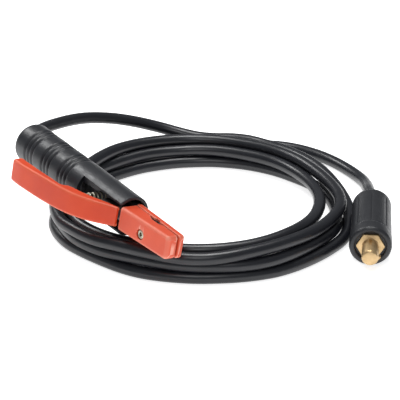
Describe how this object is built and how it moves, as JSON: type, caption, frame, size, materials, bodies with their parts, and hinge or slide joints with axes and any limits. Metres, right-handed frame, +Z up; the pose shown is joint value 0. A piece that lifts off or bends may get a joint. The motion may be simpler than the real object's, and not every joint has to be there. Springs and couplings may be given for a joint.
{
  "type": "electrode holder with welding lead",
  "caption": "Tong type electrode holder with a sprung squeeze lever, lying on the coil of its welding lead, which ends in a bayonet cable plug.",
  "frame": {"origin": "centre of the electrode seat between the two jaws, on the axis of a clamped electrode", "axes": "+X level along the handle towards the jaw tip, +Z up, the squeeze lever on the -Y side; the holder itself leans on its coil, rolled 10 degrees and pitched 2.5 degrees"},
  "size_m": [0.305, 0.2893, 0.0667],
  "materials": {
    "grip_rubber": "dark charcoal moulded grip, soft sheen",
    "orange_nylon": "orange-red glass-filled nylon, satin",
    "salmon_insulator": "orange-red moulded insulation with paler edges",
    "jaw_steel": "plated forged steel",
    "plug_brass": "turned brass",
    "zinc_steel": "zinc plated steel",
    "dark_steel": "blackened steel",
    "copper": "copper",
    "cable_black": "black cable sheath, semi-gloss",
    "plug_rubber": "black rubber, fine texture"
  },
  "bodies": {
    "holder": {"handle_tube": "grip_rubber", "handle_screw": "zinc_steel", "fixed_jaw_body": "jaw_steel", "fixed_jaw_cover": "salmon_insulator", "fixed_jaw_screw": "zinc_steel", "pivot_pin": "zinc_steel", "pivot_clips": "dark_steel", "lever_spring": "zinc_steel", "cable_clamp_screws": "dark_steel", "cable_ferrule": "copper", "cable_conductor": "copper", "cable_tail": "cable_black", "cord_handle_lead": "cable_black", "cord_coil": "cable_black", "cord_plug_lead": "cable_black", "plug_sleeve": "plug_rubber", "plug_contact": "plug_brass", "plug_clamp_screws": "dark_steel", "plug_ferrule": "copper", "plug_conductor": "copper"},
    "lever": {"lever_arm": "jaw_steel", "lever_cover": "orange_nylon", "moving_jaw_cover": "salmon_insulator", "moving_jaw_screw": "zinc_steel", "spring_stud": "zinc_steel"}
  },
  "joints": [
    {"name": "lever_pivot", "type": "hinge", "parent": "holder", "child": "lever", "pos_m": [-0.04595, -0.00098, 0.00218], "axis": [-0.043, -0.1736, -0.9839], "range_deg": [0, 13], "stiffness_Nm_per_rad": 6, "springref_deg": -13.75, "deforming": ["lever_spring"]}
  ]
}
